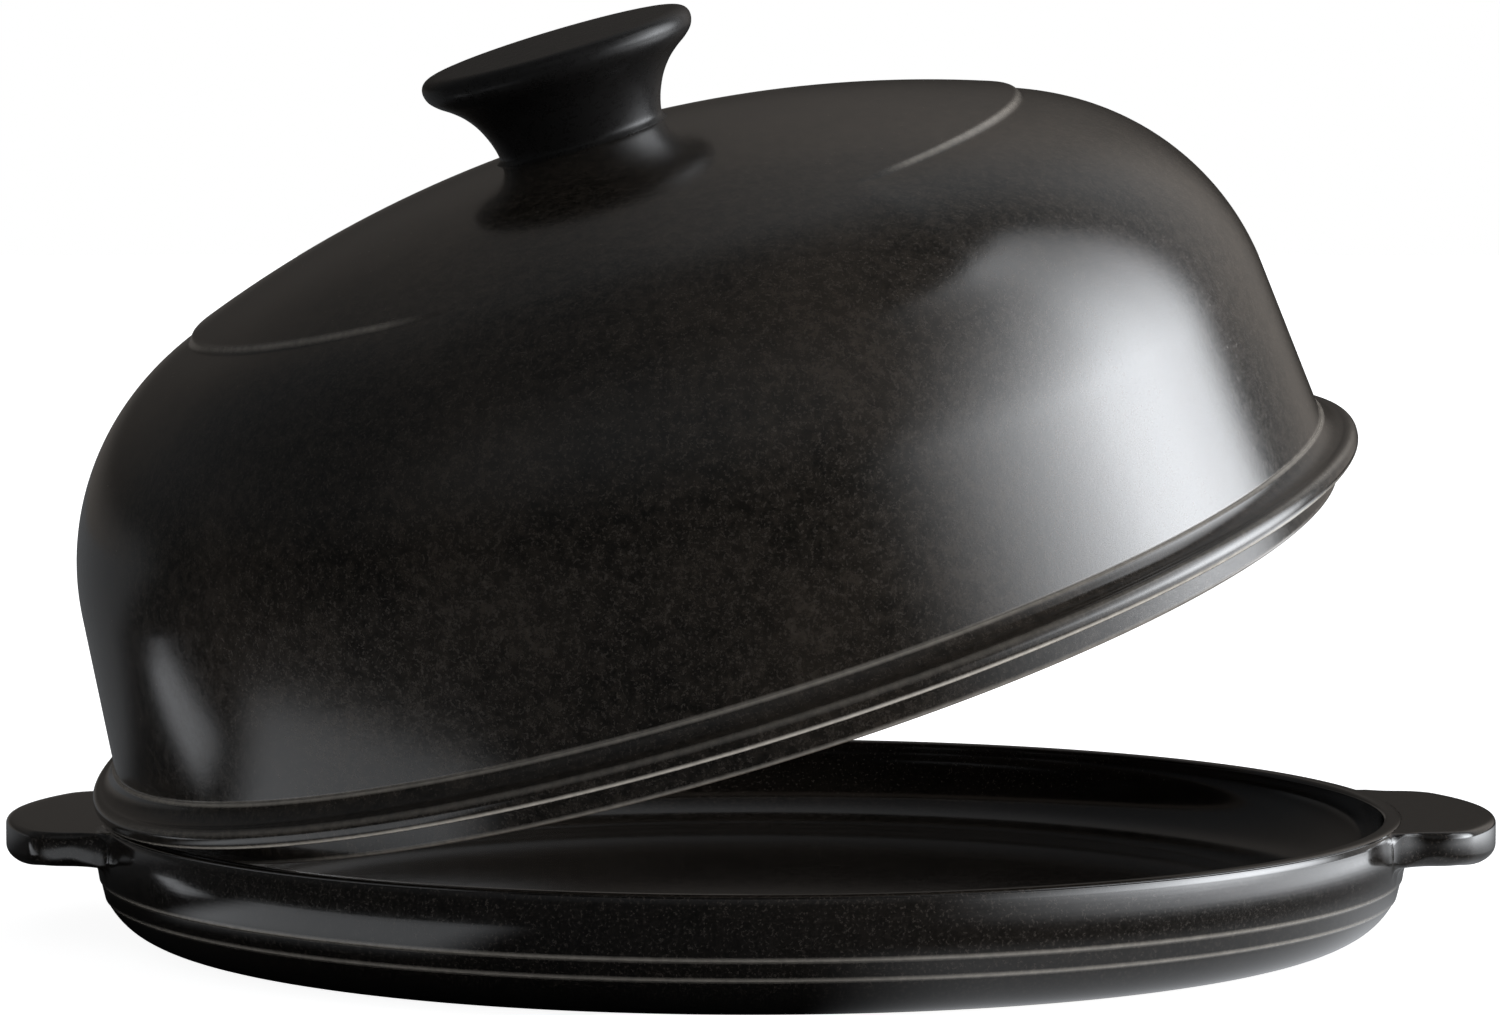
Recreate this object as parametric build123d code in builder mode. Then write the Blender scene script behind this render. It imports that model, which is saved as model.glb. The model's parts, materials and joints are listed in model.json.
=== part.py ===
from build123d import *
from math import asin, cos, degrees, radians, sin, sqrt
import os

# A bread cloche: a domed stoneware lid with a knob, standing tilted on a shallow base with two handles.
# All lengths are millimetres and all angles are degrees.
# The origin is the centre of the base's foot, on the table. +Z is up and the handles lie along X.
# The lid's own heights start at the underside of its flange, which lies on the base's rim when shut.

# How the lid stands
lid_tilt = 17.6                 # from shut to the pose in which it stands
lid_bearing = 21.0              # where it touches the rim, from the left handle towards the front
lid_turn = 8.0                  # the lid's own front, turned to the right of the base's front
seat_gap = 0.3                  # between rim and flange when the lid is shut

# Base, outside
wall_radius = 146.5             # widest girth
base_height = 26.2
foot_inset = 15.0               # the foot's outer edge, in from the widest girth
foot_width = 8.5                # unglazed ring that stands on the table
foot_depth = 1.6                # hollow of the underside, inside the foot ring
foot_bulge = 2.1                # swell of the lowest band out of a straight cone
low_crease_height = 8.6
low_crease_inset = 1.9
crease_spacing = 4.2            # from the lower crease up to the upper one
high_crease_inset = 0.6
crease_step = 0.3               # each crease stands out this far from the band under it
crease_rise = 0.2

# Base, rim and well
rim_inset = 0.5
rim_width = 4.2
rim_round = 1.4
rim_inner_round = 1.1
floor_thickness = 7.0
well_run = 23.0                 # how far the curve from wall to floor reaches inwards

# Base, handles
handle_reach = 21.0             # from the widest girth to a handle's tip
handle_width = 80.0
handle_drop = 0.5               # handle's top under the rim's top
handle_thickness = 8.2          # at the tip
handle_bow = 75.0               # radius in plan of a handle's bowed tip
handle_corner = 10.0
handle_flare = 10.0             # radius in plan where a handle grows out of the wall
handle_round = 2.8              # rounding of its top and bottom edges
handle_hollow = 1.2             # depth of the finger hollow under it
handle_lip = 7.0                # between the hollow and the tip
handle_ramp = 6.0               # from the hollow down to the lip

# Lid, flange and the ring that drops into the base
flange_overhang = 0.6           # past the base's widest girth
flange_edge = 4.5               # height of the flange's rounded edge
flange_low_round = 1.8
flange_high_round = 2.2
flange_brow = 2.6               # level stretch over the edge, before it is rounded
flange_height = 8.2             # from its underside to the crease under the wall
flange_width = 6.2              # from the crease out to the edge
flange_hollow = 0.7             # sag of the flange's top
flange_ledge = 0.6              # the wall starts this far inside the crease
spigot_clearance = 1.2
spigot_depth = 5.6
spigot_width = 7.6
spigot_round = 1.0

# Lid, bell
wall_taper = 5.7
shoulder_round = 60.5
crown_round = 275.0
crown_height = 112.2
lid_wall = 7.2

# Lid, shallow crescents on both sides of the shoulder
crescent_depth = 1.25
crescent_half_angle = 63.0      # half of the arc that a crescent takes round the lid
crescent_crest_radius = 96.0    # where its upper edge lies on the crown
crescent_foot_angle = 5.0       # where it runs out downwards, as another
crescent_lead = 0.3             # the cut starts this far outside the wall
crescent_flank = 50.0           # slope of its upper edge

# Knob
knob_foot_radius = 18.6
knob_root = 1.1                 # glaze that fills the corner round its foot
knob_root_edge = 0.15           # thickness of that glaze where it ends
knob_radius = 31.3
knob_height = 22.4              # from its foot to the edge of its top
knob_crown = 1.5                # how far the top is domed
knob_edge_round = 1.9
knob_lip = 1.0                  # the rim starts this far outside the hollow flank
# Points of its outline, as shares of the way from foot to rim and of the height
neck_shares = (0.22, 0.28)
throat_shares = (0.68, 0.61)
rim_shares = (1.0, 0.85)
edge_shares = (0.88, 1.0)

overrun = 5.0                   # how far cutting shapes run past what they cut

foot_radius = wall_radius - foot_inset
rim_radius = wall_radius - rim_inset
rim_inner_radius = rim_radius - rim_width
well_top = base_height - 2 * rim_inner_round
flange_radius = wall_radius + flange_overhang
crease_radius = flange_radius - flange_width
spigot_radius = rim_inner_radius - spigot_clearance
land_radius = knob_foot_radius + knob_root
handle_tip = wall_radius + handle_reach
to_z = Vector(0, 0, 1)


def polar(length, angle):
    """Gives a plane vector of a length, at an angle from X."""
    return Vector(length * cos(radians(angle)), length * sin(radians(angle)))


def ease(point, radius):
    """Rounds the corner of the open sketch that stands at a point."""
    fillet(vertices().sort_by_distance(point)[0], radius)


# The bell's section: a tapered wall, tangent into a tight shoulder, tangent into a flat crown
wall_foot = Vector(crease_radius - flange_ledge, flange_height)
crown_centre = Vector(0, crown_height - crown_round)
shoulder_line = wall_foot - polar(shoulder_round, wall_taper)
wall_up = polar(1, wall_taper + 90)
centre_offset = shoulder_line - crown_centre
offset_up = centre_offset.dot(wall_up)
centre_reach = crown_round - shoulder_round
wall_length = sqrt(offset_up**2 - centre_offset.dot(centre_offset) + centre_reach**2) - offset_up
shoulder_centre = shoulder_line + wall_up * wall_length
crown_slope = degrees(asin(shoulder_centre.X / centre_reach))


def shoulder_point(angle, depth=0):
    """Gives a point of the shoulder's round, at a depth under the outside."""
    return shoulder_centre + polar(shoulder_round - depth, angle)


def crown_point(radius, depth=0):
    """Gives the crown's point at a distance from the axis, at a depth under the outside."""
    return crown_centre + Vector(radius, sqrt((crown_round - depth) ** 2 - radius**2))


ring = shoulder_point(90 - crown_slope)
land = crown_point(land_radius)

# The lid's frame: shut, then turned about the middle of its edge's round, over the rim that it stands on
hinge_radius = flange_radius - flange_low_round
shut_height = base_height + seat_gap
hinge_line = Vector(sin(radians(lid_bearing)), -cos(radians(lid_bearing)), 0)
hinge_point = hinge_line.cross(to_z) * hinge_radius + to_z * (shut_height + flange_low_round)


def tilted(direction):
    """Turns a direction of the shut lid as the lid stands."""
    return direction.rotate(Axis((0, 0, 0), hinge_line), lid_tilt)


lid_origin = hinge_point + tilted(to_z * shut_height - hinge_point)
lid_up = tilted(to_z)
lid_right = tilted(Vector(1, 0, 0).rotate(Axis.Z, lid_turn))
lid_section = Plane(origin=lid_origin, x_dir=lid_right, z_dir=lid_right.cross(lid_up))
lid_axis = Axis(lid_origin, lid_up)

# Handle: a lug that sweeps out of the wall in plan, with a hollow for the fingers under it
handle_top = base_height - handle_drop
handle_bottom = handle_top - handle_thickness
root_radius = rim_radius - rim_round
with BuildPart() as handle:
    with BuildSketch(Plane.XY.offset(handle_bottom)):
        with Locations(Location((handle_tip - handle_bow, 0), (0, 0, 180))):
            Circle(handle_bow)
        with Locations((handle_tip / 2, 0)):
            Rectangle(handle_tip, handle_width, mode=Mode.INTERSECT)
        Circle(root_radius)
        fillet(vertices().group_by(Axis.X)[-1], handle_corner)
        fillet(vertices().filter_by_position(Axis.X, root_radius / 2, root_radius), handle_flare)
    extrude(amount=handle_thickness)
    with BuildSketch(Plane.XZ):
        hollow_height = handle_bottom + handle_hollow
        lip_start = handle_tip - handle_lip
        hollow_end = lip_start - handle_ramp
        ramp_middle = (lip_start + hollow_end) / 2
        with BuildLine():
            Line((-wall_radius, hollow_height), (hollow_end, hollow_height))
            Bezier(
                (hollow_end, hollow_height),
                (ramp_middle, hollow_height),
                (ramp_middle, handle_bottom),
                (lip_start, handle_bottom),
            )
            Polyline(
                (lip_start, handle_bottom),
                (handle_tip + overrun, handle_bottom),
                (handle_tip + overrun, handle_top),
                (-wall_radius, handle_top),
                (-wall_radius, hollow_height),
            )
        make_face()
    extrude(amount=wall_radius, both=True, mode=Mode.INTERSECT)
    across = handle.edges().filter_by(Axis.Y).filter_by_position(Axis.X, 0, lip_start)
    fillet(handle.edges() - handle.edges().filter_by(Axis.Z) - across, handle_round)
    with BuildSketch(Plane.XY.offset(handle_bottom)):
        Circle(rim_inner_radius + rim_inner_round)
        with Locations((-handle_width / 4, 0)):
            Rectangle(2 * root_radius, 2 * wall_radius)
    extrude(amount=handle_thickness, mode=Mode.SUBTRACT)

# Base: a shallow dish with a foot ring, a creased outside, a rounded rim and two handles
with BuildPart() as base:
    with BuildSketch(Plane.XZ):
        low_crease = Vector(wall_radius - low_crease_inset, low_crease_height)
        high_crease = Vector(wall_radius - high_crease_inset, low_crease_height + crease_spacing)
        crease = Vector(crease_step, crease_rise)
        with BuildLine():
            Line((foot_radius - foot_width, 0), (foot_radius, 0))
            SagittaArc((foot_radius, 0), low_crease, -foot_bulge)
            Line(low_crease, low_crease + crease)
            Line(low_crease + crease, high_crease)
            Line(high_crease, high_crease + crease)
            ThreePointArc(
                high_crease + crease,
                (wall_radius, (high_crease.Y + base_height) / 2),
                (rim_radius, base_height),
            )
            Polyline(
                (rim_radius, base_height),
                (rim_inner_radius, base_height),
                (rim_inner_radius, well_top),
            )
            EllipticalCenterArc(
                (rim_inner_radius - well_run, well_top),
                well_run,
                well_top - floor_thickness,
                start_angle=270,
                arc_size=90,
            )
            Polyline(
                (rim_inner_radius - well_run, floor_thickness),
                (0, floor_thickness),
                (0, foot_depth),
                (foot_radius - foot_width - foot_depth, foot_depth),
                (foot_radius - foot_width, 0),
            )
        make_face()
        ease((rim_radius, base_height), rim_round)
        ease((rim_inner_radius, base_height), rim_inner_round)
    revolve(axis=Axis.Z)
    add(handle.part)
    add(mirror(handle.part, about=Plane.YZ, mode=Mode.PRIVATE))

# Crescent: what is taken off the shoulder on one side, so that the crown stands proud there
crest = crown_point(crescent_crest_radius)
crest_slope = asin(crescent_crest_radius / crown_round)
fade_reach = crescent_depth / sin(crest_slope)
crescent_shift = fade_reach / (1 - cos(radians(crescent_half_angle)))
with BuildPart() as crescent:
    with BuildSketch(lid_section):
        run_out = shoulder_point(crescent_foot_angle, -crescent_lead)
        sunk = crown_point(crescent_crest_radius, crescent_depth)
        outer = flange_radius + overrun
        upper = crown_height + overrun
        with BuildLine():
            cut = TangentArc(run_out, sunk, tangent=polar(1, crescent_foot_angle + 90))
            inner = sunk + (cut % 1) * (crescent_depth + overrun)
            Polyline(sunk, inner, (inner.X, upper), (outer, upper), (outer, run_out.Y), run_out)
        make_face()
    revolve(axis=Axis(lid_origin - lid_right * crescent_shift, lid_up))
    with BuildSketch(lid_section):
        flank = polar(crescent_depth + overrun, 180 - crescent_flank)
        with BuildLine():
            Polyline(
                crest - flank,
                crest + flank,
                (0, (crest + flank).Y),
                (0, (crest - flank).Y),
                crest - flank,
            )
        make_face()
    revolve(axis=lid_axis, mode=Mode.SUBTRACT)

# Dome: the bell with its flange, the ring that drops inside the base's rim, and a land for the knob
with BuildPart() as dome:
    with BuildSketch(lid_section):
        wall_inside = wall_foot - polar(lid_wall, wall_taper)
        spigot_inner = spigot_radius - spigot_width
        with BuildLine():
            Polyline(
                wall_inside,
                (spigot_inner, 0),
                (spigot_inner, -spigot_depth),
                (spigot_radius, -spigot_depth),
                (spigot_radius, 0),
                (flange_radius, 0),
                (flange_radius, flange_edge),
                (flange_radius - flange_brow, flange_edge),
            )
            SagittaArc(
                (flange_radius - flange_brow, flange_edge),
                (crease_radius, flange_height),
                -flange_hollow,
            )
            Polyline((crease_radius, flange_height), wall_foot, shoulder_point(wall_taper))
            TangentArc(shoulder_point(wall_taper), ring, tangent=wall_up)
            TangentArc(ring, land, tangent=polar(1, 180 - crown_slope))
            Polyline(land, (0, land.Y), (0, crown_height - lid_wall))
            inner_ring = shoulder_point(90 - crown_slope, lid_wall)
            TangentArc((0, crown_height - lid_wall), inner_ring, tangent=(1, 0))
            TangentArc(
                inner_ring, shoulder_point(wall_taper, lid_wall), tangent=polar(1, -crown_slope)
            )
            Line(shoulder_point(wall_taper, lid_wall), wall_inside)
        make_face()
        ease((spigot_inner, -spigot_depth), spigot_round)
        ease((spigot_radius, -spigot_depth), spigot_round)
        ease((flange_radius, 0), flange_low_round)
        ease((flange_radius, flange_edge), flange_high_round)
    revolve(axis=lid_axis)
    add(crescent.part, mode=Mode.SUBTRACT)
    add(crescent.part.rotate(lid_axis, 180), mode=Mode.SUBTRACT)


def knob_point(shares):
    """Gives a point of the knob's outline from its shares of the flare and of the height."""
    flare = knob_radius - knob_foot_radius
    return Vector(knob_foot_radius + shares[0] * flare, land.Y + shares[1] * knob_height)


# Knob: a trumpet with a rounded rim and a slightly domed top, luted to the crown
with BuildPart() as knob:
    with BuildSketch(lid_section):
        throat = knob_point(throat_shares)
        edge = knob_point(edge_shares)
        root_top = Vector(knob_foot_radius, land.Y + knob_root)
        with BuildLine():
            Line((0, land.Y), (land_radius, land.Y))
            Line((land_radius, land.Y), (land_radius, land.Y + knob_root_edge))
            SagittaArc((land_radius, land.Y + knob_root_edge), root_top, -knob_root / 4)
            ThreePointArc(root_top, knob_point(neck_shares), throat)
            Line(throat, throat + Vector(knob_lip, knob_lip / 4))
            ThreePointArc(throat + Vector(knob_lip, knob_lip / 4), knob_point(rim_shares), edge)
            TangentArc((0, edge.Y + knob_crown), edge, tangent=(1, 0))
            Line((0, edge.Y + knob_crown), (0, land.Y))
        make_face()
        ease(edge, knob_edge_round)
    revolve(axis=lid_axis)

base.part.label = "base"
dome.part.label = "dome"
knob.part.label = "knob"
os.makedirs("parts", exist_ok=True)
export_step(base.part, "parts/base.step")
export_step(dome.part, "parts/dome.step")
export_step(knob.part, "parts/knob.step")
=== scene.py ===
import json
from math import cos, degrees, radians, sin

import bmesh
import bpy
import numpy as np
from mathutils import Matrix, Vector


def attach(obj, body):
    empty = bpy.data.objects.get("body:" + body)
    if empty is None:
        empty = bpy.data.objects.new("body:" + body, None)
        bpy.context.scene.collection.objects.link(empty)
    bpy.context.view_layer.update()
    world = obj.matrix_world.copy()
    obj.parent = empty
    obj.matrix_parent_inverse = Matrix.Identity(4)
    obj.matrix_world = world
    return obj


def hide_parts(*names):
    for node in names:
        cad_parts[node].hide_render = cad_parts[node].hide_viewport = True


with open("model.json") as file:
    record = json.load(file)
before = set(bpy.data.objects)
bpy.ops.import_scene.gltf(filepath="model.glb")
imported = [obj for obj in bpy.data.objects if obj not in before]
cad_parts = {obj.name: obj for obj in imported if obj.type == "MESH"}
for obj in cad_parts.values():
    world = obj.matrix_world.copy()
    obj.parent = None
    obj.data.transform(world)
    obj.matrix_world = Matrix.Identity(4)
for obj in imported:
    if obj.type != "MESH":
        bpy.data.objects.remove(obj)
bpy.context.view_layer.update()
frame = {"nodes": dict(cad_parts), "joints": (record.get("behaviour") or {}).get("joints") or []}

# Places and distances are in metres and angles in degrees. The sizes of the pieces and their sections are in
# millimetres, and turned into metres when a piece is made.
MM = 0.001
WELD = 4e-6
SLIVER = 1e-6
RIGHT = (1, 0, 0)
FRONT = (0, -1, 0)
UP = (0, 0, 1)


class Wire:
    """An output of a node, which can be worked with as if it were the number it carries."""

    def __init__(self, recipe, socket):
        self.recipe = recipe
        self.socket = socket

    def maths(self, operation, *others, clamp=False):
        values = dict(enumerate((self, *others)))
        return self.recipe.node("Math", values, operation=operation, use_clamp=clamp)

    def __add__(self, other):
        return self.maths("ADD", other)

    def __sub__(self, other):
        return self.maths("SUBTRACT", other)

    def __mul__(self, other):
        return self.maths("MULTIPLY", other)

    def __truediv__(self, other):
        return self.maths("DIVIDE", other)

    def __pow__(self, other):
        return self.maths("POWER", other)

    def __rsub__(self, other):
        return self * -1 + other

    __radd__ = __add__
    __rmul__ = __mul__

    def ramp(self, start, end):
        """Goes smoothly from 0 at start to 1 at end, which may be the lower of the two."""
        low, high = min(start, end), max(start, end)
        values = {0: self, 1: low, 2: high}
        step = self.recipe.node("MapRange", values, interpolation_type="SMOOTHSTEP")
        return step if start < end else 1 - step

    def within(self, start, full, fading, end):
        """Is 1 between full and fading, and goes smoothly to 0 at start and at end."""
        return self.ramp(start, full) * self.ramp(end, fading)


class Recipe:
    """The nodes of a material or of the world, from an empty start."""

    def __init__(self, owner):
        owner.use_nodes = True
        self.owner = owner
        self.tree = owner.node_tree
        self.tree.nodes.clear()

    def node(self, kind, values=None, output=0, **settings):
        made = self.tree.nodes.new("ShaderNode" + kind)
        for name, value in settings.items():
            setattr(made, name, value)
        for name, value in (values or {}).items():
            if isinstance(value, Wire):
                self.tree.links.new(value.socket, made.inputs[name])
            else:
                made.inputs[name].default_value = value
        return Wire(self, made.outputs[output]) if made.outputs else None

    def place(self):
        return self.node("TexCoord", output="Object")

    def offset(self, origin):
        return self.node("VectorMath", {0: self.place(), 1: origin}, operation="SUBTRACT")

    def along(self, direction, origin=(0, 0, 0)):
        """Gives how far a point lies along a direction."""
        values = {0: self.offset(origin), 1: tuple(direction)}
        return self.node("VectorMath", values, output="Value", operation="DOT_PRODUCT")

    def from_axis(self, direction, origin=(0, 0, 0)):
        """Gives how far a point lies from an axis."""
        values = {0: self.offset(origin), 1: tuple(direction)}
        across = self.node("VectorMath", values, operation="CROSS_PRODUCT")
        return self.node("VectorMath", {0: across}, output="Value", operation="LENGTH")

    def noise(self, size, detail=2.0, roughness=0.5):
        """Gives a noise whose lumps are about a size across."""
        values = {"Vector": self.place(), "Scale": 1 / size, "Detail": detail, "Roughness": roughness}
        return self.node("TexNoise", values)

    def mix(self, share, first, second):
        """Mixes two colours, by the share that the second has."""
        return self.node("Mix", {0: share, 6: first, 7: second}, output=2, data_type="RGBA")

    def ray(self, kind):
        """Is 1 for rays of a kind."""
        return self.node("LightPath", output=f"Is {kind} Ray")

    def glow(self, colour, strength):
        return self.node("Emission", {"Color": colour, "Strength": strength})

    def finish(self, shader):
        kind = "OutputWorld" if isinstance(self.owner, bpy.types.World) else "OutputMaterial"
        self.node(kind, {"Surface": shader})
        return self.owner


# Sections are lists of points (distance from the axis, height), with heights from the table for the base and
# from the flange's underside for the lid


def polar(angle, length=1.0):
    return np.array([cos(radians(angle)), sin(radians(angle))]) * length


def arc(centre, radius, start, end, steps):
    """Points on a circle between two angles."""
    return [np.array(centre) + polar(angle, radius) for angle in np.linspace(start, end, steps + 1)]


def arc_through(first, middle, last, steps):
    """Points on the arc through three points."""
    (ax, ay), (bx, by), (cx, cy) = first, middle, last
    turn = 2 * (ax * (by - cy) + bx * (cy - ay) + cx * (ay - by))
    sa, sb, sc = ax**2 + ay**2, bx**2 + by**2, cx**2 + cy**2
    x = sa * (by - cy) + sb * (cy - ay) + sc * (ay - by)
    y = sa * (cx - bx) + sb * (ax - cx) + sc * (bx - ax)
    centre = np.array([x, y]) / turn
    spokes = [np.array(point) - centre for point in (first, middle, last)]
    angles = np.degrees(np.unwrap([np.arctan2(spoke[1], spoke[0]) for spoke in spokes]))
    return arc(centre, np.hypot(*spokes[0]), angles[0], angles[2], steps)


def rounded(before, corner, after, radius, steps):
    """Points on the arc that rounds a corner between two straight lines."""
    before, corner, after = (np.array(point, float) for point in (before, corner, after))
    inward = (before - corner) / np.linalg.norm(before - corner)
    onward = (after - corner) / np.linalg.norm(after - corner)
    middle = (inward + onward) / np.linalg.norm(inward + onward)
    half = np.arccos(np.clip(inward @ onward, -1, 1)) / 2
    reach = radius / np.tan(half)
    deep = corner + middle * (radius / np.sin(half) - radius)
    return arc_through(corner + inward * reach, deep, corner + onward * reach, steps)


def corners(points, steps):
    """Points on an open outline whose corners (x, y, radius) are rounded where the radius isn't 0."""
    made = [np.array(points[0][:2], float)]
    for before, point, after in zip(points, points[1:], points[2:]):
        if point[2]:
            made += rounded(before[:2], point[:2], after[:2], point[2], steps)
        else:
            made.append(np.array(point[:2], float))
    return made + [np.array(points[-1][:2], float)]


def flowing(points, steps=6):
    """Points on a smooth curve through the given ones."""
    points = np.array(points, float)
    slopes = np.gradient(points, axis=0)
    t = np.linspace(0, 1, steps, endpoint=False)[:, None]
    made = []
    for first, last, leaves, arrives in zip(points, points[1:], slopes, slopes[1:]):
        ends = first * (1 + 2 * t) * (1 - t) ** 2 + last * t * t * (3 - 2 * t)
        bend = leaves * t * (1 - t) ** 2 + arrives * t * t * (t - 1)
        made += list(ends + bend)
    return made + [points[-1]]


def skin(name, grid, node, body):
    """A closed piece for a CAD node, from a grid of points in metres: columns round, rows along a section."""
    columns, rows = grid.shape[:2]
    index = np.arange(columns * rows).reshape(columns, rows)
    after = np.roll(index, -1, axis=0)
    faces = np.stack([index[:, :-1], after[:, :-1], after[:, 1:], index[:, 1:]], -1).reshape(-1, 4)
    mesh = bpy.data.meshes.new(name)
    mesh.from_pydata(grid.reshape(-1, 3).tolist(), [], faces.tolist())
    work = bmesh.new()
    work.from_mesh(mesh)
    bmesh.ops.remove_doubles(work, verts=work.verts, dist=WELD)
    bmesh.ops.dissolve_degenerate(work, edges=work.edges, dist=SLIVER)
    bmesh.ops.recalc_face_normals(work, faces=work.faces)
    for face in work.faces:
        face.smooth = True
    work.to_mesh(mesh)
    work.free()
    piece = bpy.data.objects.new(name, mesh)
    bpy.context.scene.collection.objects.link(piece)
    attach(piece, body)
    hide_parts(node)
    return piece


# Flange: its lower edge rests on the rim, its brow meets the wall in a groove, and a ring under it drops into
# the base
FLANGE_REACH = 147.1
FLANGE_HEIGHT = 4.5
FLANGE_HIGH_ROUND = 2.2
FLANGE_LOW_ROUND = 1.8
GROOVE = ((140.9, 8.2), (142.2, 5.86), (144.5, 4.5))
GROOVE_END = 144.6
RING_OUTSIDE = 140.6
RING_INSIDE = 133.0
RING_DEPTH = 5.6
RING_ROUND = 1.0
RING_CREASE = 0.35

# Where the lid lies: its axis passes through the middle of the flange's underside
LID_TURN = 8.0
hinge = frame["joints"][0]
hinge_point = Vector(hinge["pos_m"])
tilt = Matrix.Rotation(radians(-hinge["range_deg"][0]), 3, Vector(hinge["axis"]))
lid_origin = hinge_point + tilt @ Vector((-hinge_point.x, -hinge_point.y, -FLANGE_LOW_ROUND * MM))
lid_up = tilt @ Vector(UP)
lid_right = tilt @ Vector((cos(radians(LID_TURN)), sin(radians(LID_TURN)), 0))


def in_lid(radius, height, angle):
    """The place of a point of the lid, from its distance from the lid's axis, its height and its angle."""
    angle = angle + radians(LID_TURN)
    flat = np.stack([radius * np.cos(angle), radius * np.sin(angle), height], -1) * MM
    return np.array(lid_origin) + flat @ np.array(tilt).T


# Bell: a tapered wall, a tight shoulder and a flat crown, tangent to each other. The rows close to the wall's
# foot keep the light on the wall straight.
WALL_FOOT = np.array([140.3, 8.2])
WALL_TAPER = 5.7
WALL_SHARES = (0.012, 0.04, 0.1, 0.2, 0.4, 0.7)
SHOULDER_ROUND = 60.5
CROWN_ROUND = 275.0
CROWN_HEIGHT = 112.2
LID_WALL = 7.2
LAND_RADIUS = 19.7
BELL_COLUMNS = 288
crown_centre = np.array([0, CROWN_HEIGHT - CROWN_ROUND])
centre_reach = CROWN_ROUND - SHOULDER_ROUND
low_centre = WALL_FOOT - polar(WALL_TAPER, SHOULDER_ROUND)
offset = low_centre - crown_centre
offset_up = offset @ polar(WALL_TAPER + 90)
wall_length = np.sqrt(offset_up**2 - offset @ offset + centre_reach**2) - offset_up
shoulder_centre = low_centre + polar(WALL_TAPER + 90, wall_length)
ring_angle = 90 - np.degrees(np.arcsin(shoulder_centre[0] / centre_reach))

# Crescents: shallow hollows on both sides of the shoulder, each under a soft step in the crown
CREST_RADIUS = 96.0
CREST_HEIGHT = 94.9
CREST_SOFT = 1.1
CREST_SPAN = 1.6
CROWN_START = 94.0
CRESCENT_DEPTH = 1.25
CRESCENT_HALF = 62.0
CRESCENT_FOOT = 5.0
CRESCENT_BLUNT = 0.55
CRESCENT_BELOW = 1.5


def crown_angle(radius):
    return np.degrees(np.arccos(radius / CROWN_ROUND))


def crescent_depth(radius, height, angle):
    """How deep the crescents lie under the bell's outside there."""
    end = np.cos(np.radians(CRESCENT_HALF))
    fade = np.clip((np.abs(np.cos(angle)) - end) / (1 - end), 0, 1) ** CRESCENT_BLUNT
    rise = np.degrees(np.arctan2(height - shoulder_centre[1], radius - shoulder_centre[0]))
    below = np.clip((rise - CRESCENT_FOOT) / (ring_angle - CRESCENT_FOOT), 0, 1)
    step = np.clip((radius - CREST_RADIUS + CREST_SOFT) / (2 * CREST_SOFT), 0, 1)
    return CRESCENT_DEPTH * fade * below**CRESCENT_BELOW * step * step * (3 - 2 * step)


def dome_grid():
    crest_rows = [
        crown_centre + polar(crown_angle(radius), CROWN_ROUND)
        for radius in np.linspace(CREST_RADIUS + CREST_SPAN, CREST_RADIUS - CREST_SPAN, 17)
    ]
    wall_top = shoulder_centre + polar(WALL_TAPER, SHOULDER_ROUND)
    wall = [WALL_FOOT + (wall_top - WALL_FOOT) * share for share in WALL_SHARES]
    outside = [
        *wall,
        *arc(shoulder_centre, SHOULDER_ROUND, WALL_TAPER, ring_angle, 44),
        *crest_rows,
        *arc(crown_centre, CROWN_ROUND, crown_angle(CROWN_START), crown_angle(LAND_RADIUS), 24),
    ]
    inside = [
        *arc(crown_centre, CROWN_ROUND - LID_WALL, 90, ring_angle, 14),
        *arc(shoulder_centre, SHOULDER_ROUND - LID_WALL, ring_angle, WALL_TAPER, 20),
        *[point - polar(WALL_TAPER, LID_WALL) for point in wall[::-1]],
    ]
    rim = [
        WALL_FOOT,
        *arc_through(*GROOVE, 8),
        *corners([
            (GROOVE_END, FLANGE_HEIGHT, 0),
            (FLANGE_REACH, FLANGE_HEIGHT, FLANGE_HIGH_ROUND),
            (FLANGE_REACH, 0, FLANGE_LOW_ROUND),
            (RING_OUTSIDE, 0, RING_CREASE),
            (RING_OUTSIDE, -RING_DEPTH, RING_ROUND),
            (RING_INSIDE, -RING_DEPTH, RING_ROUND),
            (RING_INSIDE, 0, RING_ROUND),
            (*(WALL_FOOT - polar(WALL_TAPER, LID_WALL)), 0),
        ], 8),
    ]
    section = np.array([*inside, *rim[::-1][1:], *outside, (0, outside[-1][1])])
    angle = np.linspace(0, 2 * np.pi, BELL_COLUMNS, endpoint=False)[:, None]
    radius, height = (np.broadcast_to(part, (BELL_COLUMNS, len(section))).copy() for part in section.T)
    bell = np.zeros(len(section), bool)
    bell[-len(outside) - 1:-1] = True
    depth = np.where(bell, crescent_depth(radius, height, angle), 0)
    on_shoulder = np.arctan2(height - shoulder_centre[1], radius - shoulder_centre[0])
    on_crown = np.arctan2(height - crown_centre[1], radius)
    slope = np.where(radius < CREST_RADIUS + CREST_SPAN, on_crown, on_shoulder)
    radius = radius - depth * np.cos(slope)
    height = height - depth * np.sin(slope)
    return in_lid(radius, height, np.broadcast_to(angle, radius.shape))


# Knob: a trumpet with a rounded rim and a slightly domed top, on the land in the middle of the crown
KNOB_COLUMNS = 192
KNOB_SECTION = [
    (0, 0),
    (LAND_RADIUS, 0),
    *flowing([
        (19.5, 0.05), (18.75, 1.3), (19.2, 3.8), (20.2, 6.6), (21.7, 9.5), (23.8, 12.2),
        (26.2, 14.3), (28.6, 16.0), (30.3, 17.8), (30.9, 19.9), (30.3, 21.6), (28.6, 22.55),
        (25.5, 22.85), (20, 23.2), (13, 23.6), (6, 23.85),
    ]),
    (0, 23.9),
]


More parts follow.
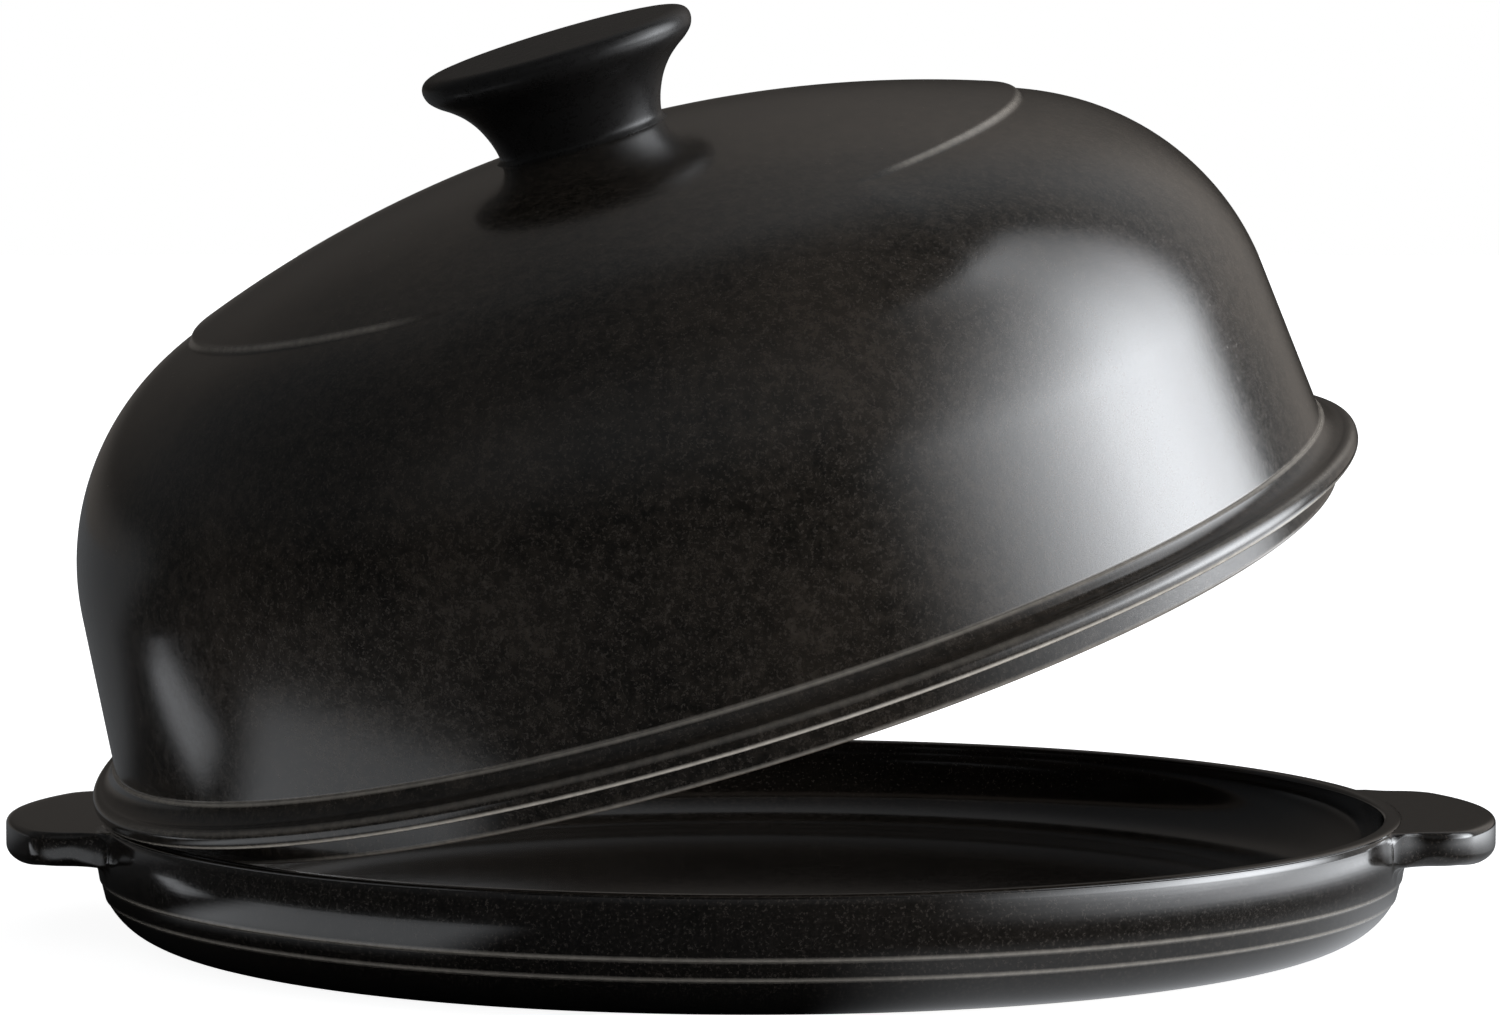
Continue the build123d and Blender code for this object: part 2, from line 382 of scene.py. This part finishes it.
def knob_grid():
    land = CROWN_HEIGHT - CROWN_ROUND + np.sqrt(CROWN_ROUND**2 - LAND_RADIUS**2)
    radius, height = np.array(KNOB_SECTION).T
    angle = np.linspace(0, 2 * np.pi, KNOB_COLUMNS, endpoint=False)[:, None]
    return in_lid(*np.broadcast_arrays(radius, height + land, angle))


# Base: a shallow dish with two creases round its wall, whose rim runs out into two handles
RIM_MIDDLE = (144.6, 24.8)
RIM_ROUND = 1.4
RIM_INSIDE = (142.9, 25.1)
RIM_INSIDE_ROUND = 1.1
WELL_MIDDLE = np.array([118.8, 24.0])
WELL_SIZE = np.array([23.0, 17.0])
WELL_FLAT = 60.0
WELL_FLOOR = 7.0
LOW_CREASE = (144.9, 8.8)
HIGH_CREASE = (146.2, 13.0)
OPEN_COLUMNS = 116
BASE_FOOT = [(0, 1.6), (117, 1.6), (121.4, 1.6)]
BASE_WALL = [
    (123.0, 0),
    *arc_through((131.5, 0), (139.2, 2.54), (144.5, 8.35), 16),
    *corners([(144.55, 8.5, 0), (144.9, 8.72, 0.15), (145.0, 9.1, 0), (145.85, 12.6, 0)], 4),
    *corners([(145.86, 12.7, 0), (146.2, 12.92, 0.15), (146.25, 13.3, 0)], 4),
    *arc_through((146.27, 13.6), (146.5, 19.5), (146.1, 24.6), 12),
    *arc(RIM_MIDDLE, RIM_ROUND, 5, 90, 8),
]

# Handles: bowed tips with round corners, flares into the wall, and a lip under the tip. Where a handle leaves
# the wall, its rounds grow over ROUND_REACH, and the wall's section turns into the handle's over BLEND_REACH.
HANDLE_TIP = 167.5
HANDLE_HALF = 40.0
HANDLE_BOW = 75.0
HANDLE_CORNER = 10.0
HANDLE_FLARE = 10.0
HANDLE_START = 146.5
HANDLE_TOP = 25.7
HANDLE_BOTTOM = 17.1
HANDLE_TOP_ROUND = 1.6
HANDLE_LOW_ROUND = 2.6
HANDLE_HOLLOW = 0.9
HANDLE_LIP = 7.0
HANDLE_RAMP = 6.0
HANDLE_COVE = 3.2
COVE_GAP = 0.6
ROUND_REACH = 7.0
BLEND_REACH = 2.0
UNDER_SHARES = (*np.linspace(0, 0.24, 7), *np.linspace(0.32, 1, 12))
TOP_SHARES = (0.88, 0.74, 0.6, 0.45, 0.3, 0.16, 0.07, 0.025, 0)
ROUND_ROWS = 8


def wall_radius(height):
    """The dish's outer radius at a height."""
    radii, heights = np.array(BASE_WALL).T
    return np.interp(height, heights, radii)


def handle_outline():
    """The right handle's outline, front to back: points, normals, bearings, and the bearing of its root."""
    flare_y = HANDLE_HALF + HANDLE_FLARE
    flare_x = np.sqrt((HANDLE_START + HANDLE_FLARE) ** 2 - flare_y**2)
    root = np.degrees(np.arctan2(flare_y, flare_x))
    inner = HANDLE_BOW - HANDLE_CORNER
    bow_end = np.degrees(np.arcsin((HANDLE_HALF - HANDLE_CORNER) / inner))
    bow = np.linspace(0, bow_end, 14)[:-1]
    turn = np.linspace(bow_end, 90, 14)
    flare = np.linspace(270, 180 + root, 20)
    bow_centre = np.array([HANDLE_TIP - HANDLE_BOW, 0])
    corner_centre = bow_centre + polar(bow_end, inner)
    flare_centre = np.array([flare_x, flare_y])
    tip = [bow_centre + polar(angle, HANDLE_BOW) for angle in bow]
    tip += [corner_centre + polar(angle, HANDLE_CORNER) for angle in turn]
    curve = [flare_centre + polar(angle, HANDLE_FLARE) for angle in flare]
    curve_bearings = [np.degrees(np.arctan2(y, x)) for x, y in curve]
    points = np.array(tip + curve)
    normals = np.concatenate([bow, turn, flare - 180])
    bearings = np.concatenate([np.linspace(0, curve_bearings[0], len(tip) + 1)[:-1], curve_bearings])
    points = np.concatenate([points[:0:-1] * (1, -1), points])
    normals, bearings = (np.concatenate([-part[:0:-1], part]) for part in (normals, bearings))
    return points, np.radians(normals), np.radians(bearings), root


def handle_under(spot):
    """The height of the handles' underside over a spot, which steps down to the lip."""
    step = np.clip((abs(spot[0]) - HANDLE_TIP + HANDLE_LIP + HANDLE_RAMP) / HANDLE_RAMP, 0, 1)
    return HANDLE_BOTTOM + HANDLE_HOLLOW * (1 - step**2 * (3 - 2 * step))


def handle_rows(point, out, spoke, reach):
    """A section of a handle that reaches out to a point: underside, both rounds and top."""
    grown = min(1.0, reach / ROUND_REACH)
    cove, low_round, top_round = (size * grown for size in (HANDLE_COVE, HANDLE_LOW_ROUND, HANDLE_TOP_ROUND))
    rows = []
    start = spoke * HANDLE_START
    inner = point - out * low_round
    for share in UNDER_SHARES:
        spot = start + (inner - start) * share
        away = min(cove, reach * share)
        drop = cove - np.sqrt(max(0.0, cove**2 - (cove - away) ** 2))
        rows.append((*spot, handle_under(spot) - drop))
    low = handle_under(inner)
    for turn in np.radians(np.linspace(-90, 0, ROUND_ROWS)[1:]):
        spot = point - out * low_round * (1 - np.cos(turn))
        rows.append((*spot, low + low_round * (1 + np.sin(turn))))
    for turn in np.radians(np.linspace(0, 90, ROUND_ROWS)):
        spot = point - out * top_round * (1 - np.cos(turn))
        rows.append((*spot, HANDLE_TOP - top_round * (1 - np.sin(turn))))
    start = spoke * wall_radius(HANDLE_TOP)
    inner = point - out * top_round
    for share in TOP_SHARES:
        rows.append((*(start + (inner - start) * share), HANDLE_TOP))
    return np.array(rows)


def base_column(bearing, point=None, normal=0.0):
    """A section of the base at a bearing, which runs out to a point of a handle's outline if one is given."""
    spoke, out = (np.array([np.cos(angle), np.sin(angle)]) for angle in (bearing, normal))
    low = [row for row in BASE_WALL if row[1] < HANDLE_BOTTOM - HANDLE_COVE - COVE_GAP]
    side_rows = len(UNDER_SHARES) + len(TOP_SHARES) + 2 * ROUND_ROWS - 1
    heights = np.linspace(low[-1][1], HANDLE_TOP, side_rows + 1)[1:]
    side = np.array([(*(spoke * wall_radius(height)), height) for height in heights])
    if point is not None:
        reach = max(0.0, np.hypot(*point) - HANDLE_START)
        side = side + (handle_rows(point, out, spoke, reach) - side) * min(1.0, reach / BLEND_REACH)
    for row in side:
        if np.hypot(row[0], row[1]) < wall_radius(row[2]):
            row[:2] = spoke * wall_radius(row[2])
    rim_start = degrees(np.arcsin((HANDLE_TOP - RIM_MIDDLE[1]) / RIM_ROUND))
    inside = [
        *arc(RIM_MIDDLE, RIM_ROUND, rim_start, 90, 8),
        *arc(RIM_INSIDE, RIM_INSIDE_ROUND, 90, 180, 7),
        *[WELL_MIDDLE + WELL_SIZE * polar(angle) for angle in np.linspace(0, -90, 22)],
        (WELL_FLAT, WELL_FLOOR),
        (0, WELL_FLOOR),
    ]
    below = [(*(spoke * radius), height) for radius, height in BASE_FOOT + low]
    above = [(*(spoke * radius), height) for radius, height in inside]
    return np.array([*below, *side, *above])


def base_grid():
    outline, normals, bearings, root = handle_outline()
    columns = []
    for turn in (0, np.pi):
        spin = np.array([[np.cos(turn), -np.sin(turn)], [np.sin(turn), np.cos(turn)]])
        for point, normal, bearing in zip(outline, normals, bearings):
            columns.append(base_column(bearing + turn, spin @ point, normal + turn))
        for bearing in np.radians(np.linspace(root, 180 - root, OPEN_COLUMNS + 2))[1:-1]:
            columns.append(base_column(bearing + turn))
    grid = np.array(columns)
    for _ in range(2):
        grid = (np.roll(grid, 1, axis=0) + 2 * grid + np.roll(grid, -1, axis=0)) / 4
    return grid * MM


pieces = {
    "base": skin("base_form", base_grid(), "base", "base"),
    "dome": skin("dome_form", dome_grid(), "dome", "lid"),
    "knob": skin("knob_form", knob_grid(), "knob", "lid"),
}

# Glazes. The pale marks on edges are partly wear, where the glaze breaks over a crease or a corner and the
# pale clay shows through, and partly painted highlight lines along the creases, the flange and the crescents'
# crests.
CHARCOAL = (0.0080, 0.0066, 0.0046, 1)
CHARCOAL_PALE = (0.040, 0.0312, 0.0235, 1)
NEUTRAL = (0.0115, 0.0108, 0.0104, 1)
NEUTRAL_PALE = (0.0175, 0.0165, 0.0160, 1)
BLACK = (0.0050, 0.0041, 0.0031, 1)
BLACK_PALE = (0.0150, 0.0120, 0.0095, 1)
# Pale clay for worn edges, also used to paint highlight lines on creases and edges
WEAR_AND_HIGHLIGHT = (0.66, 0.60, 0.52, 1)
SPECK = (0.075, 0.062, 0.052, 1)
CLAY = (0.16, 0.125, 0.095, 1)
CLAY_DARK = (0.085, 0.066, 0.05, 1)
CLOUD_SIZE = 0.05
MOTTLE_SIZE = 0.0026
FLECK_SIZE = 0.0007
DIMPLE_SIZE = 0.0045
PIT_SIZE = 0.0008
CLAY_SIZE = 0.004
GRIT_SIZE = 0.0009
GRIT_HEIGHT = 0.0002

# The glaze is wiped off the foot ring and off the lower face of the lid's ring, between these heights
FOOT_WIPED = (0.0007, 0.0003)
RING_WIPED = (-0.0052, -0.0055)


def bare_clay(r):
    """Unglazed stoneware, matt and gritty."""
    grit = r.noise(GRIT_SIZE, detail=3, roughness=0.7)
    return r.node("BsdfPrincipled", {
        "Base Color": r.mix(r.noise(CLAY_SIZE, detail=4), CLAY_DARK, CLAY),
        "Roughness": 0.85,
        "IOR": 1.45,
        "Normal": r.node("Bump", {"Height": grit, "Distance": GRIT_HEIGHT, "Strength": 1.0}),
    })


def glaze(name, dark, pale, gloss, dimple, coat, shine=1.5, specks=0.4, wear_and_highlight=None, bare=None):
    """Fired glaze: clouded, mottled and dimpled, pale where wear_and_highlight is 1 (worn edges and painted
    highlight lines) and missing where bare is 1.
    """
    r = Recipe(bpy.data.materials.new(name))
    cloud = r.noise(CLOUD_SIZE, detail=3, roughness=0.6).ramp(0.38, 0.66)
    mottle = r.noise(MOTTLE_SIZE, detail=5, roughness=0.75).ramp(0.36, 0.68)
    fleck = r.noise(FLECK_SIZE, detail=2, roughness=0.7).ramp(0.5, 0.7)
    colour = r.mix(cloud * 0.4 + mottle * 0.6, dark, pale)
    colour = r.mix(fleck * specks, colour, SPECK)
    if wear_and_highlight:
        # Pale marks on edges: worn glaze, and painted highlight lines
        colour = r.mix(wear_and_highlight(r) * (0.75 + mottle * 0.25), colour, WEAR_AND_HIGHLIGHT)
    dimples = r.noise(DIMPLE_SIZE, detail=2) + r.noise(PIT_SIZE, detail=3, roughness=0.7) * 0.6
    glazed = r.node("BsdfPrincipled", {
        "Base Color": colour,
        "Roughness": gloss + mottle * 0.06 + fleck * 0.08,
        "IOR": shine,
        "Coat Weight": coat,
        "Coat Roughness": gloss,
        "Coat IOR": 1.5,
        "Normal": r.node("Bump", {"Height": dimples, "Distance": dimple, "Strength": 1.0}),
    })
    if not bare:
        return r.finish(glazed)
    return r.finish(r.node("MixShader", {0: bare(r), 1: glazed, 2: bare_clay(r)}))


def near(r, radius, height, reach, up=UP, origin=(0, 0, 0)):
    """Is 1 on a circle round an axis, and fades to 0 at a reach from it, all three in millimetres."""
    out = r.from_axis(up, origin) - radius * MM
    rise = r.along(up, origin) - height * MM
    return ((out * out + rise * rise) ** 0.5).ramp(reach * MM, 0)


def lid_wear_and_highlight(r):
    # Pale marks on the lid: along the wall's crease, the flange's brow and lower edge and the ring's edge
    # they are partly worn glaze and partly painted highlight lines
    lid = {"up": lid_up, "origin": lid_origin}
    side = r.along(lid_right, lid_origin) / r.from_axis(lid_up, lid_origin)
    # Painted highlight along the crests of the crescents
    crest_highlight = near(r, CREST_RADIUS - 0.2, CREST_HEIGHT, CREST_SPAN, **lid) * (side * side).ramp(0.24, 0.4)
    crease = near(r, WALL_FOOT[0] + 0.4, WALL_FOOT[1], 0.9, **lid)
    brow = near(r, FLANGE_REACH - 0.7, FLANGE_HEIGHT - 0.7, 1.2, **lid)
    under = near(r, FLANGE_REACH - 0.6, 0.6, 1.0, **lid)
    ring = near(r, RING_OUTSIDE - 0.2, 0.4 - RING_DEPTH, 1.0, **lid)
    wear_and_highlight = crease * 0.5 + brow * 0.15 + under + ring * 0.35 + crest_highlight * 0.35
    return wear_and_highlight.maths("MINIMUM", 1.0)


def base_wear_and_highlight(r):
    # Pale marks on the base's two creases: partly worn glaze, partly painted highlight lines
    return near(r, *LOW_CREASE, 0.9) * 0.45 + near(r, *HIGH_CREASE, 0.9) * 0.4


def base_bare(r):
    return r.along(UP).ramp(*FOOT_WIPED)


def lid_bare(r):
    return r.along(lid_up, lid_origin).ramp(*RING_WIPED)


finishes = {
    "base": glaze("gloss_glaze", BLACK, BLACK_PALE, 0.09, 0.00001, 0.8, wear_and_highlight=base_wear_and_highlight, bare=base_bare),
    "dome": glaze("satin_glaze", CHARCOAL, CHARCOAL_PALE, 0.14, 0.00003, 0.7, wear_and_highlight=lid_wear_and_highlight, bare=lid_bare),
    "knob": glaze("knob_glaze", NEUTRAL, NEUTRAL_PALE, 0.26, 0.000004, 0.0, shine=1.4, specks=0.04),
}
for node, finish in finishes.items():
    for piece in (pieces[node], frame["nodes"][node]):
        piece.data.materials.clear()
        piece.data.materials.append(finish)

# Light comes from the world and the floor, by bearing (0 is the front, 90 the right), by height above the
# horizon and, on the floor, by distance from the middle
DAYLIGHT = (0.93, 0.96, 1, 1)
WARM_LIGHT = (1, 0.92, 0.85, 1)
WHITE = (1, 1, 1, 1)


def bearing_of(toward_right, toward_front):
    return toward_right.maths("ARCTAN2", toward_front) * degrees(1)


# The floor: pale, with a soft shadow. The glaze mirrors it dark, but for sheens on the right and on the left.
FLOOR_HALF = 6.0
FLOOR_TONE = 0.6
FLOOR_GLOW = 0.93
FLOOR_DIM = 0.04
GLOW_AWAY = (0.22, 0.8)
RIGHT_SHEEN = 2.4
RIGHT_SHEEN_NEAR = 0.12
RIGHT_BEARINGS = (24, 95, 108, 138)
RIGHT_AWAY = (0.22, 0.42)
BESIDE_SHEEN = 0.38
BESIDE_BEARINGS = (4, 22, 70, 110)
BESIDE_AWAY = (0.21, 0.16)
LEFT_SHEEN = 0.7
LEFT_BEARINGS = (-78, -66, -36, -26)
LEFT_AWAY = (0.16, 0.19, 0.28, 0.31)
FAR_LEFT_SHEEN = 0.07
FAR_LEFT_BEARINGS = (-108, -122)
FAR_LEFT_AWAY = (0.2, 0.32)
STREAK_SHEEN = 0.75
STREAK_PLACE = (-0.293, 0.008, 0)
STREAK_ACROSS = (0.72, 0.69, 0)
STREAK_ALONG = (-0.69, 0.72, 0)
STREAK_WIDTH = (0.028, 0.01)
STREAK_LENGTH = (0.085, 0.045)
BOUNCE = 1.2
BOUNCE_AWAY = (0.15, 0.2, 0.5, 0.9)

bpy.ops.mesh.primitive_plane_add(size=2 * FLOOR_HALF)
floor = bpy.context.object
floor.name = "floor"
r = Recipe(bpy.data.materials.new("pale_floor"))
away = r.from_axis(UP)
bearing = bearing_of(r.along(RIGHT), r.along(FRONT))
right = bearing.within(*RIGHT_BEARINGS) * (away.ramp(*RIGHT_AWAY) * RIGHT_SHEEN + RIGHT_SHEEN_NEAR)
beside = bearing.within(*BESIDE_BEARINGS) * away.ramp(*BESIDE_AWAY) * BESIDE_SHEEN
left = bearing.within(*LEFT_BEARINGS) * away.within(*LEFT_AWAY) * LEFT_SHEEN
far_left = bearing.ramp(*FAR_LEFT_BEARINGS) * away.ramp(*FAR_LEFT_AWAY) * FAR_LEFT_SHEEN
streak_across = r.along(STREAK_ACROSS, STREAK_PLACE).maths("ABSOLUTE").ramp(*STREAK_WIDTH)
streak_along = r.along(STREAK_ALONG, STREAK_PLACE).maths("ABSOLUTE").ramp(*STREAK_LENGTH)
streak = streak_across * streak_along * STREAK_SHEEN
bounce = r.ray("Diffuse") * away.within(*BOUNCE_AWAY) * BOUNCE
sheens = right + beside + left + far_left + streak + bounce
dim = r.node("BsdfDiffuse", {"Color": (FLOOR_DIM, FLOOR_DIM, FLOOR_DIM, 1)})
mirrored = r.node("AddShader", {0: dim, 1: r.glow(DAYLIGHT, sheens)})
pale = r.node("BsdfDiffuse", {"Color": (FLOOR_TONE, FLOOR_TONE, FLOOR_TONE, 1)})
whiter = away.ramp(*GLOW_AWAY) * (1 - FLOOR_GLOW) + FLOOR_GLOW
shown = r.node("AddShader", {0: pale, 1: r.glow(WHITE, whiter)})
floor.data.materials.append(r.finish(r.node("MixShader", {0: r.ray("Camera"), 1: mirrored, 2: shown})))

# The room: dark but for a tall window on the right, brightest low down, and a paler wall behind. The camera
# sees white.
WINDOW_LIGHT = 9.6
WINDOW_LEFT = 33
WINDOW_LEAN = 5
WINDOW_WIDTH = 56
WINDOW_CURVE = 1.9
WINDOW_RIGHT = (126, 109)
WINDOW_TOP = (65, 61)
WALL_BEHIND = 0.22
WALL_RIGHT = 0.22
WALL_LEFT = 0.07
WALL_FRONT = 0.07
CEILING = 0.035
DARKNESS = 0.02
PLAIN_LIGHT = 0.13

world = bpy.data.worlds.new("room")
bpy.context.scene.world = world
r = Recipe(world)
direction = r.node("TexCoord", output="Generated")
to_right, to_front, to_top = (
    r.node("VectorMath", {0: direction, 1: axis}, output="Value", operation="DOT_PRODUCT")
    for axis in (RIGHT, FRONT, UP)
)
bearing = bearing_of(to_right, to_front)
height = to_top.maths("ARCSINE") * degrees(1)
from_left = bearing + height.ramp(28, 8) * WINDOW_LEAN - WINDOW_LEFT
window = from_left.maths("DIVIDE", WINDOW_WIDTH, clamp=True) ** WINDOW_CURVE
window = window * (1 - bearing.ramp(94, 112) * 0.36) * bearing.ramp(*WINDOW_RIGHT)
window = window * (height.ramp(56, 8) * 0.8 + 0.2) * (height.ramp(-2, 10) * 0.7 + 0.3)
window = window * height.ramp(*WINDOW_TOP)
behind = to_front.ramp(-0.1, -0.6) * height.ramp(5, 50) * to_right.ramp(-0.4, 0.3)
far_right = to_front.ramp(-0.3, -0.8) * to_right.ramp(0.2, 0.5)
far_left = bearing.ramp(-112, -126) * height.ramp(8, 0)
front = to_front.ramp(0.2, 0.8) * height.ramp(8, 35)
light = window * WINDOW_LIGHT + behind * WALL_BEHIND + far_right * WALL_RIGHT + far_left * WALL_LEFT
light = light + front * WALL_FRONT + height.ramp(-5, 20) * CEILING + DARKNESS
light = light + r.ray("Diffuse") * PLAIN_LIGHT
tint = r.mix(to_front.ramp(-0.5, -0.9), DAYLIGHT, WARM_LIGHT)
room = r.node("Background", {"Color": tint, "Strength": light})
backdrop = r.node("Background", {"Color": WHITE, "Strength": 1.0})
r.finish(r.node("MixShader", {0: r.ray("Camera"), 1: room, 2: backdrop}))

# The camera, fitted to the photograph's outlines
IMAGE_WIDTH = 1500
SENSOR = 36.0
FOCAL_PIXELS = 5784
CAMERA_AWAY = 1.3
CAMERA_UP = 3.93
LOOKS_AT = Vector((-0.00021, 0, 0.09425))

camera_data = bpy.data.cameras.new("camera")
camera_data.sensor_width = SENSOR
camera_data.lens = SENSOR * FOCAL_PIXELS / IMAGE_WIDTH
camera_data.clip_end = 50
camera = bpy.data.objects.new("camera", camera_data)
bpy.context.scene.collection.objects.link(camera)
lift = radians(CAMERA_UP)
camera.location = LOOKS_AT + CAMERA_AWAY * Vector((0, -cos(lift), sin(lift)))
camera.rotation_euler = (LOOKS_AT - camera.location).to_track_quat("-Z", "Y").to_euler()
bpy.context.scene.camera = camera
bpy.context.scene.view_settings.view_transform = "Standard"
